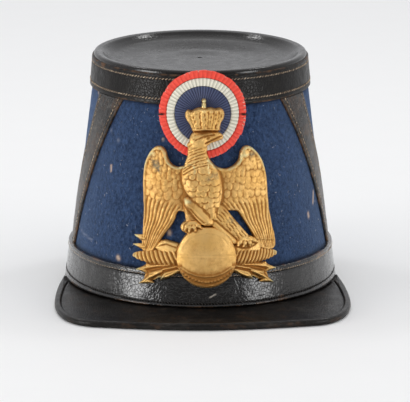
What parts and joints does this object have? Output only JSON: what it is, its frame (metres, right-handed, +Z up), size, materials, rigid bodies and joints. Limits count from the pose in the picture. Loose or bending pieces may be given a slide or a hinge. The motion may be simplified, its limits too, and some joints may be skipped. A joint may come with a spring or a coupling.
{
  "type": "shako hat",
  "caption": "Tapered oval cloth cap with leather bands, dished leather crown, leather peak, V side strips, a pleated cockade and a gilt eagle plate.",
  "frame": {"origin": "On the table under the middle of the whole hat, the peak included.", "axes": "+Z is up, the peak and the plate face -Y, and +X is to the right in a view from the front."},
  "size_m": [0.178, 0.233, 0.146],
  "materials": {
    "cloth_blue": "matt",
    "leather_black": "polished, worn",
    "brass_gilt": "gilt, tarnished in the hollows",
    "ribbon_red": "pleated ribbon",
    "ribbon_white": "pleated ribbon",
    "ribbon_blue": "pleated ribbon"
  },
  "bodies": {
    "root": {"cloth_body": "cloth_blue", "crown": "leather_black", "top_band": "leather_black", "bottom_band": "leather_black", "chevron_left": "leather_black", "chevron_right": "leather_black", "peak": "leather_black", "cockade_red": "ribbon_red", "cockade_white": "ribbon_white", "cockade_blue": "ribbon_blue", "eagle_plate": "brass_gilt"}
  },
  "joints": []
}
